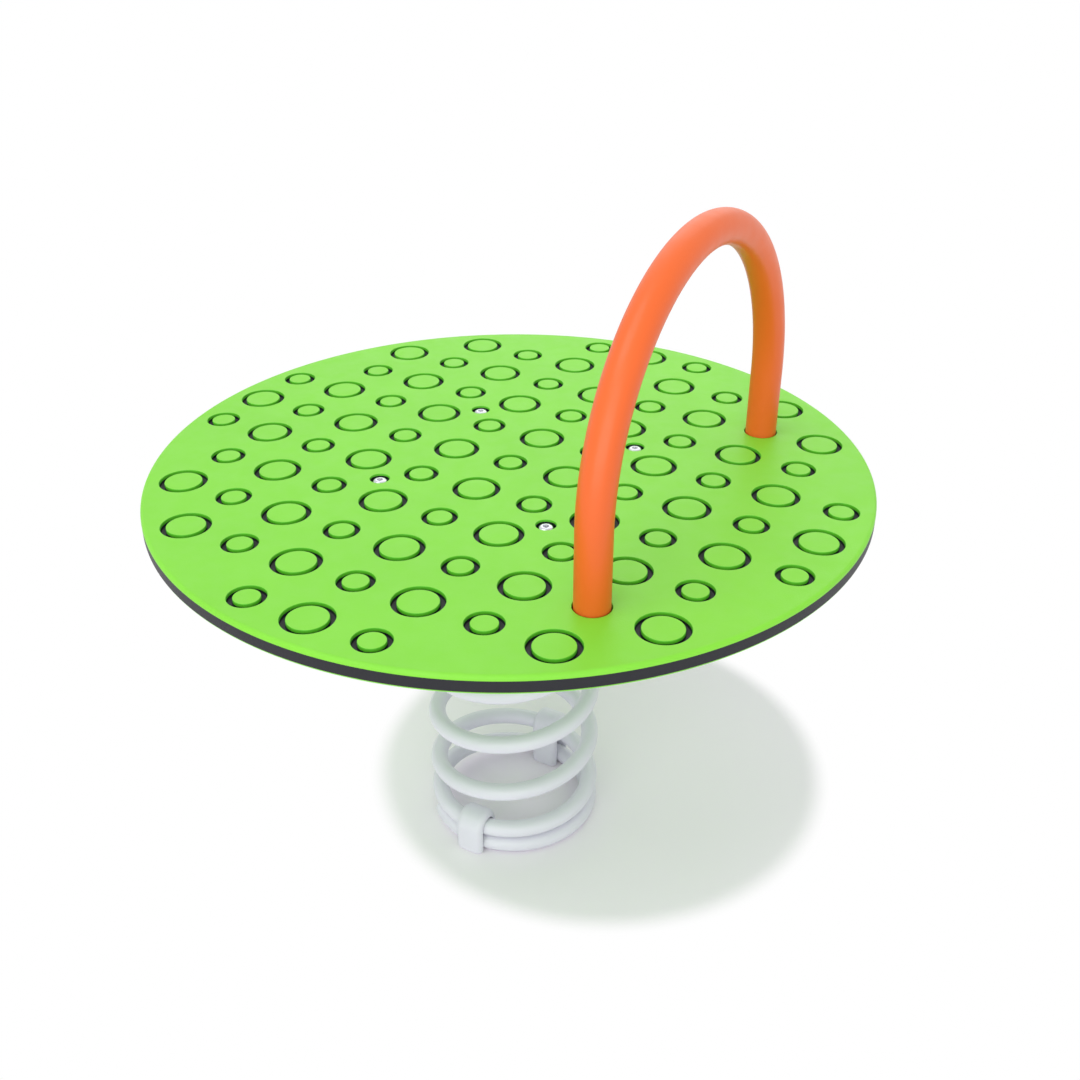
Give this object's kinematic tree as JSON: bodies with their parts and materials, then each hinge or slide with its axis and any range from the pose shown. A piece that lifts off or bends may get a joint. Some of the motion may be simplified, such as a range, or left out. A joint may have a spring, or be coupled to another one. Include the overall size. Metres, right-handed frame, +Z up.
{
  "type": "playground stand-on rocker",
  "caption": "Round green board with ring grooves on a large coil spring, with an arched orange handle, for standing on and rocking in a playground.",
  "frame": {"origin": "on the ground, on the spring's axis, under the centre of the board", "axes": "+Z up along the spring's axis; +X towards the handle, the way the rider faces; +Y to the rider's left"},
  "size_m": [0.76, 0.76, 0.763],
  "materials": {
    "board_sheet": "textured polyethylene sheet, green skins on a black core",
    "handle_coat": "satin orange powder coat",
    "spring_coat": "satin light grey powder coat",
    "zinc_steel": "zinc plated",
    "stainless_steel": "plain stainless"
  },
  "bodies": {
    "ground": {"lower_clamp_left": "spring_coat", "lower_clamp_right": "spring_coat"},
    "spring": {"spring": "spring_coat"},
    "platform": {"board": "board_sheet", "handle": "handle_coat", "handle_foot_left": "zinc_steel", "handle_foot_right": "zinc_steel", "head_dish": "zinc_steel", "upper_clamp_front": "spring_coat", "upper_clamp_rear": "spring_coat", "foot_screw_left_1": "zinc_steel", "foot_screw_left_2": "zinc_steel", "foot_screw_left_3": "zinc_steel", "foot_screw_left_4": "zinc_steel", "foot_screw_right_1": "zinc_steel", "foot_screw_right_2": "zinc_steel", "foot_screw_right_3": "zinc_steel", "foot_screw_right_4": "zinc_steel", "clamp_washer_front_outer": "zinc_steel", "clamp_washer_front_inner": "zinc_steel", "clamp_washer_rear_outer": "zinc_steel", "clamp_washer_rear_inner": "zinc_steel", "clamp_nut_front_outer": "zinc_steel", "clamp_nut_front_inner": "zinc_steel", "clamp_nut_rear_outer": "zinc_steel", "clamp_nut_rear_inner": "zinc_steel", "board_bolt_front_left": "stainless_steel", "board_bolt_rear_left": "stainless_steel", "board_bolt_rear_right": "stainless_steel", "board_bolt_front_right": "stainless_steel", "board_washer_front_left": "stainless_steel", "board_washer_rear_left": "stainless_steel", "board_washer_rear_right": "stainless_steel", "board_washer_front_right": "stainless_steel", "board_nut_front_left": "stainless_steel", "board_nut_rear_left": "stainless_steel", "board_nut_rear_right": "stainless_steel", "board_nut_front_right": "stainless_steel"}
  },
  "joints": [
    {"name": "rock_fore_aft", "type": "hinge", "parent": "ground", "child": "spring", "pos_m": [0, 0, 0.21645], "axis": [0, 1, 0], "range_deg": [-15, 15], "stiffness_Nm_per_rad": 765, "deforming": ["spring"]},
    {"name": "rock_sideways", "type": "hinge", "parent": "spring", "child": "platform", "pos_m": [0, 0, 0.21645], "axis": [1, 0, 0], "range_deg": [-15, 15], "stiffness_Nm_per_rad": 765, "deforming": ["spring"]}
  ]
}
